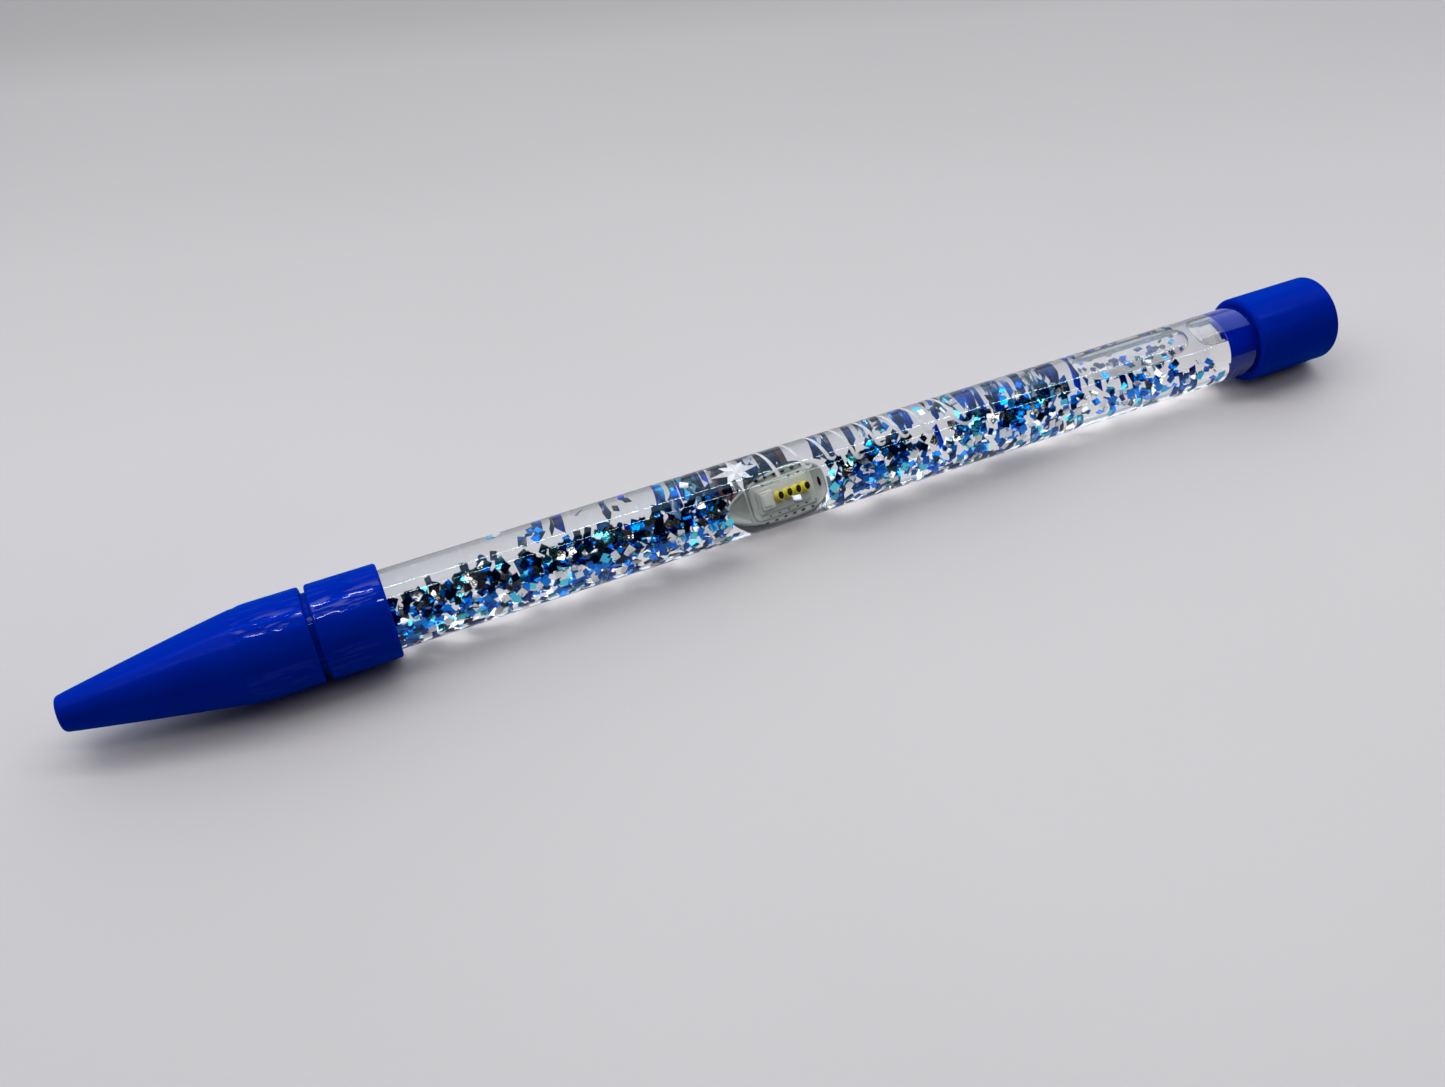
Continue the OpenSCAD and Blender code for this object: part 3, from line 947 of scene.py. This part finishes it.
def wall_flakes(x, angle, tilt, rng):
    """Flakes against the wall of the bore, at angles in radians; tilt is how much they lean."""
    n = len(x)
    lying = np.where((angle > 0) & (angle < BANK_LEAN), BANK_LEAN, angle)
    level = rng.random(n) < np.where(angle > BANK_FOOT, 0.62, 0.9)
    lying = np.where((angle > BANK_TOP) & level, 0, lying)
    in_bed = (-angle > math.radians(BED_ANGLE)) & (rng.random(n) < 0.8)
    lying = np.where(in_bed, math.radians(-8), lying)
    depth = 0.17 * MM + tilt * MM + np.minimum(rng.exponential(0.2 * MM, n), 0.75 * MM)
    r = BORE_R - depth - 0.85 * MM * np.abs(np.sin(lying - angle))
    centre = np.stack([x, -r * np.sin(angle), r * np.cos(angle)], 1)
    out = np.stack([np.zeros(n), -np.sin(lying), np.cos(lying)], 1)
    loose = np.where(rng.random(n) < 0.15, 3 * tilt, tilt)
    return centre, *flake_frames(out + loose[:, None] * rng.normal(size=(n, 3)), rng)


def fits(centre, u, v, half):
    """Flakes whose corners stay in the oil, off the bubbles and out of the ship's way."""
    ok = np.ones(len(centre), bool)
    for a, b in ((0, 0), (1, 1), (1, -1), (-1, 1), (-1, -1)):
        corner = centre + 1.1 * half[:, None] * (a * u + b * v)
        x, y, z = corner.T
        ok &= np.hypot(y, z) < BORE_R - 0.05 * MM
        ok &= ~in_ship_way(y, z)
        ok &= (x > LIQUID_LOW_X + 0.1 * MM) & (x < LIQUID_HIGH_X - 0.1 * MM)
        ok &= (x < station(BUBBLE_START_S)) | (z < 3.75 * MM)
    return ok


def wall_group(low, high, rng):
    """Flakes that lie against the wall of the bore."""
    x = rng.uniform(low, high, WALL_TRIES)
    angle = rng.uniform(-180, 180, WALL_TRIES)
    cover = wall_cover((x - TIP_X) / MM, angle)
    cover = np.where(beside_ship(x, angle), CLEARED_COVER, cover)
    keep = rng.random(WALL_TRIES) < cover
    return wall_flakes(x[keep], np.radians(angle[keep]), tilt=0.11, rng=rng)


def stray_group(low, high, rng):
    """Small clusters of flakes that cling to the wall near the top and along the far side."""
    hub_x, hub_angle = rng.uniform(low, high, STRAY_CLUSTERS), rng.uniform(-34, 12, STRAY_CLUSTERS)
    far = rng.random(STRAY_CLUSTERS) < 0.4
    hub_angle = np.where(far, rng.uniform(-125, -70, STRAY_CLUSTERS), hub_angle)
    pick = rng.integers(0, STRAY_CLUSTERS, 3 * STRAY_CLUSTERS)
    x = hub_x[pick] + rng.normal(0, 1.3 * MM, len(pick))
    angle = hub_angle[pick] + rng.normal(0, 9, len(pick))
    keep = ~beside_ship(x, angle)
    return wall_flakes(x[keep], np.radians(angle[keep]), tilt=0.3, rng=rng)


def pile_group(low, high, rng):
    """Flakes heaped at the bottom of the bore."""
    x = rng.uniform(low, high, PILE_TRIES)
    y = rng.uniform(-BORE_R, BORE_R, PILE_TRIES)
    s = (x - TIP_X) / MM
    ripple = sway(s, (21, 0.0, 0.25), (8.3, 1.4, 0.2))
    level = (-3.55 - 0.5 * blend(s, 160, 170) + ripple) * MM - PILE_SLOPE * y
    z = level - rng.exponential(0.45 * MM, PILE_TRIES)
    lean = rng.normal(size=(PILE_TRIES, 3)) * 0.28 + np.array([0, PILE_SLOPE, 1])
    keep = rng.random(PILE_TRIES) > 0.5 * blend(s, 160, 170)
    keep &= np.abs(x - SHIP_MID_X) > SHIP_LEN / 2 - 1.5 * MM
    pile = (np.stack([x, y, z], 1), *flake_frames(lean, rng))
    return tuple(part[keep] for part in pile)


def sample_flakes(rng):
    """Centres, axes and half sizes of all the flakes, in mixed order."""
    low, high = LIQUID_LOW_X + 0.7 * MM, LIQUID_HIGH_X - 0.7 * MM
    groups = [group(low, high, rng) for group in (wall_group, stray_group, pile_group)]
    centre, u, v, normal = (np.concatenate(parts) for parts in zip(*groups))
    half = rng.uniform(*FLAKE_HALF, len(centre)) * MM
    order = rng.permutation(np.flatnonzero(fits(centre, u, v, half)))
    return [part[order] for part in (centre, u, v, normal, half)]


FLAKE_HALF = (0.57, 0.78)  # half a side, in millimetres
HEX_SHARE = 0.08


def flake_mesh(centre, u, v, normal, half, rng):
    """Thin plates, most square or a little skewed, some six-sided."""
    verts, faces = [], []
    axis = np.array([0, 0, AXIS_Z])
    for c, a, b, n, h in zip(centre, u, v, normal, half):
        if rng.random() < HEX_SHARE:
            angles = [TAU * k / 6 for k in range(6)]
            ring = [(0.95 * math.cos(t), 0.95 * math.sin(t)) for t in angles]
        else:
            skew, tall = rng.normal(0, 0.08), rng.uniform(0.72, 1.0)
            ring = [(-1, -tall + skew), (1, -tall - skew), (1, tall - skew), (-1, tall + skew)]
        start, sides = len(verts), len(ring)
        for side in (-0.5, 0.5):
            for p, q in ring:
                corner = c + h * 0.97 * (p * a + q * b)
                verts.append(corner + side * FLAKE_T * n + axis)
        faces.append([start + k for k in range(sides)][::-1])
        faces.append([start + sides + k for k in range(sides)])
        for k in range(sides):
            m = (k + 1) % sides
            faces.append([start + k, start + m, start + sides + m, start + sides + k])
    return verts, faces


def make_glitter():
    rng = np.random.default_rng(SEED)
    arrays = sample_flakes(rng)
    ends = np.round(np.cumsum([0, *SHARES.values()]) * len(arrays[0])).astype(int)
    for colour, first, last in zip(SHARES, ends, ends[1:]):
        verts, faces = flake_mesh(*[a[first:last] for a in arrays], rng)
        make_piece(
            f"flakes_{colour}", verts, faces, [f"flake_{colour}"], "barrel",
            [f"glitter_{colour}"], f"{colour}_flake", degrees=20,
        )


# ---- print on the tube


INK_LIFT = (0.004 * MM, 0.022 * MM)  # the print's underside and top above the tube


def ribbon(points, widths):
    """A thin printed stroke on the tube along points of (station, arc length), in millimetres."""
    count = len(points)
    verts = []
    for i, (s, arc) in enumerate(points):
        before, after = points[max(i - 1, 0)], points[min(i + 1, count - 1)]
        ds, da = after[0] - before[0], after[1] - before[1]
        length = math.hypot(ds, da)
        w = widths[i] / 2
        for side in (-1, 1):
            s_edge, arc_edge = s - side * w * da / length, arc + side * w * ds / length
            for up in INK_LIFT:
                verts.append(around(station(s_edge), TUBE_R + up, arc_edge * MM / TUBE_R))
    faces = []
    for i in range(count - 1):
        a, b = 4 * i, 4 * i + 4
        faces += [[a, b, b + 2, a + 2], [a + 1, a + 3, b + 3, b + 1]]
        faces += [[a, a + 1, b + 1, b], [a + 2, b + 2, b + 3, a + 3]]
    faces += [[0, 2, 3, 1], [4 * count - 4, 4 * count - 3, 4 * count - 1, 4 * count - 2]]
    return verts, faces


def printed_patch(outline, centre):
    """A thin printed patch: a fan from its centre out to the outline, both (station, arc)."""
    ring = [centre] + outline
    verts = [around(station(s), TUBE_R + up, a * MM / TUBE_R) for up in INK_LIFT for s, a in ring]
    n, count = len(outline), len(ring)
    faces = []
    for k in range(n):
        a, b = 1 + k, 1 + (k + 1) % n
        faces += [[0, b, a], [count, count + a, count + b], [a, b, count + b, count + a]]
    return verts, faces


def wave_stroke(s, low_arc, hook):
    """One slanted stroke from the top of the tube that curls up at its foot like a small wave."""
    top_arc, slant, steps = -5.4, 1.5, 14
    line = [(s + slant * t / steps, top_arc + (low_arc - top_arc) * t / steps) for t in range(steps)]
    foot = s + slant + hook
    turns = [math.pi - 0.85 * math.pi * t / steps for t in range(steps + 1)]
    line += [(foot + hook * math.cos(a), low_arc + hook * math.sin(a)) for a in turns]
    widths = [0.22 + 0.42 * math.sin(math.pi * i / (len(line) - 1)) ** 0.7 for i in range(len(line))]
    return ribbon(line, widths)


def make_print():
    """A plain nautical motif: a compass star, then a row of curling waves."""
    star_s, star_arc, points = 105.6, -0.4, 8
    main_reach, minor_reach, notch = 4.4, 2.9, 1.6
    star = []
    for k in range(2 * points):
        reach = notch if k % 2 else (main_reach if k % 4 == 0 else minor_reach)
        a = TAU * k / (2 * points)
        star.append((star_s + reach * math.cos(a), star_arc + reach * math.sin(a)))
    rng = random.Random(SEED + 2)
    strokes = [wave_stroke(110.5 + 4.4 * k, 2.6 + rng.uniform(-0.6, 0.6), 0.7) for k in range(7)]
    strokes.append(wave_stroke(142.5, 2.2, 1.7))
    make_piece(
        "wave_print", *join(printed_patch(star, (star_s, star_arc)), *strokes), ["print"], "barrel",
        slot="clear_tube", degrees=30,
    )


# ---- carried-over CAD nodes


def dress_cad_nodes():
    finishes = {
        "nose_cone": "nose", "refill_nib": "brass", "refill_ball": "steel", "refill_tube": "refill",
        "refill_ink": "ink", "front_stopper": "stopper",
    }
    for name, key in finishes.items():
        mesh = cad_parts[name].data
        mesh.materials.clear()
        mesh.materials.append(MATERIALS[key])


# ---- stage, lights and camera

# The camera's place, turn and lens, solved from the pen's perspective in the photo.
CAMERA_AT = Vector((-0.064823, -0.136688, 0.174511))
CAMERA_TILT, CAMERA_TURN = math.radians(40.006), math.radians(-23.053)
CAMERA_LENS = 34.46
STRIP_WIDTH, STRIP_LENGTH = 0.009, 0.75
STRIP_SHIFT = 0.05  # towards the pen's rear end, as the camera stands nearer its tip
STRIP_COLOUR = (1.0, 0.965, 0.93)
STRIPS = [  # name, distance from the pen's axis, lean in degrees from straight above, watts
    ("strip_over", 0.35, -13.7, 0.33),
    ("strip_behind", 0.394, 18.9, 0.62),
]


def add_camera():
    data = bpy.data.cameras.new("camera")
    data.lens, data.sensor_width = CAMERA_LENS, 36
    data.clip_start, data.clip_end = 0.005, 20
    camera = bpy.data.objects.new("camera", data)
    camera.location = CAMERA_AT
    camera.rotation_euler = (CAMERA_TILT, 0, CAMERA_TURN)
    bpy.context.scene.collection.objects.link(camera)
    bpy.context.scene.camera = camera


FLOOR_PAINTED_SHADE = [  # painted shade, the sheet darker further beyond the pen where the light falls off: metres beyond the pen, share of the sheet's tone
    (0.03, 1.0), (0.08, 0.95), (0.12, 0.86), (0.15, 0.82), (0.175, 0.67), (0.21, 0.6),
]


def add_floor():
    material, tree, shader = new_material("white_sheet")
    cloud = soft_noise(tree, 7, detail=3)
    tone = ramp(tree, cloud.outputs["Fac"], [(0.3, (0.585, 0.57, 0.58)), (0.7, (0.61, 0.595, 0.605))])
    # painted shade: the sheet's colour is multiplied darker with distance beyond the pen, standing in
    # for the light falling off
    place = node(tree, "ShaderNodeTexCoord")
    away = node(tree, "ShaderNodeVectorMath", operation="DOT_PRODUCT")
    away.inputs[1].default_value = (0.25, 0.97, 0)
    tree.links.new(place.outputs["Object"], away.inputs[0])
    shade = ramp(tree, away.outputs["Value"], [(d, grey(v)) for d, v in FLOOR_PAINTED_SHADE])
    mix = node(tree, "ShaderNodeMix", data_type="RGBA", blend_type="MULTIPLY")
    mix.inputs["Factor"].default_value = 1
    tree.links.new(tone, mix.inputs[6])
    tree.links.new(shade, mix.inputs[7])
    feed(tree, mix.outputs[2], "Base Color")
    set_inputs(shader, Roughness=0.55, Specular_IOR_Level=0.3)
    bump(tree, soft_noise(tree, 600, detail=4), 0.03 * MM)
    half, steps = 5.0, 8
    marks = [half * (2 * i / steps - 1) for i in range(steps + 1)]
    verts = [(x, y, 0.0) for y in marks for x in marks]
    row = steps + 1
    faces = [
        [j * row + i, j * row + i + 1, (j + 1) * row + i + 1, (j + 1) * row + i]
        for j in range(steps)
        for i in range(steps)
    ]
    mesh = bpy.data.meshes.new("floor")
    mesh.from_pydata(verts, [], faces)
    mesh.materials.append(material)
    floor = bpy.data.objects.new("floor", mesh)
    bpy.context.scene.collection.objects.link(floor)


def add_strip(name, location, power):
    """A long lamp that runs along the camera's left-right direction and faces the pen."""
    along = Vector((math.cos(CAMERA_TURN), math.sin(CAMERA_TURN), 0))
    facing = Vector((0, location.y, location.z - AXIS_Z)).normalized()
    side = facing.cross(along).normalized()
    along = side.cross(facing).normalized()
    data = bpy.data.lights.new(name, "AREA")
    data.shape = "RECTANGLE"
    data.size, data.size_y = STRIP_LENGTH, STRIP_WIDTH
    data.energy = power
    data.color = STRIP_COLOUR
    light = bpy.data.objects.new(name, data)
    turn = Matrix((along, side, facing)).transposed().to_4x4()
    light.matrix_world = Matrix.Translation(location) @ turn
    bpy.context.scene.collection.objects.link(light)


def add_world():
    """A room bright overhead and behind the pen, and dark above the camera's side."""
    world = bpy.data.worlds.new("room")
    bpy.context.scene.world = world
    world.use_nodes = True
    tree = world.node_tree
    place = node(tree, "ShaderNodeTexCoord")
    parts = node(tree, "ShaderNodeSeparateXYZ")
    tree.links.new(place.outputs["Generated"], parts.inputs["Vector"])
    flip = maths(tree, "MULTIPLY", parts.outputs["Y"], -1)
    climb = maths(tree, "ARCTAN2", parts.outputs["Z"], flip)
    share = maths(tree, "DIVIDE", climb, math.pi)
    wall, dark, ceiling, window = grey(0.03), grey(0.003), (1.22, 1.27, 1.34), (0.42, 0.50, 0.60)
    climbs = [  # degrees up from the horizon on the camera's side
        (8, wall), (16, dark), (86, dark), (92, ceiling), (166, ceiling), (174, window), (180, window),
    ]
    tone = ramp(tree, share, [(d / 180, colour) for d, colour in climbs])
    background = tree.nodes["Background"]
    tree.links.new(tone, background.inputs["Color"])
    background.inputs["Strength"].default_value = 1.0


def add_lights():
    along = Vector((math.cos(CAMERA_TURN), math.sin(CAMERA_TURN), 0)) * STRIP_SHIFT
    for name, distance, lean, power in STRIPS:
        angle = math.radians(lean)
        spot = Vector((0, distance * math.sin(angle), AXIS_Z + distance * math.cos(angle)))
        add_strip(name, spot + along, power)


make_cap()
make_gate_nub()
make_collar()
make_end_cap()
make_rear_bung()
make_tube()
make_oil()
make_hull()
make_deck()
make_house()
make_funnels()
make_boats()
make_hatch()
make_glitter()
make_print()
dress_cad_nodes()
add_floor()
add_lights()
add_world()
add_camera()
bpy.context.scene.view_settings.view_transform = "Standard"
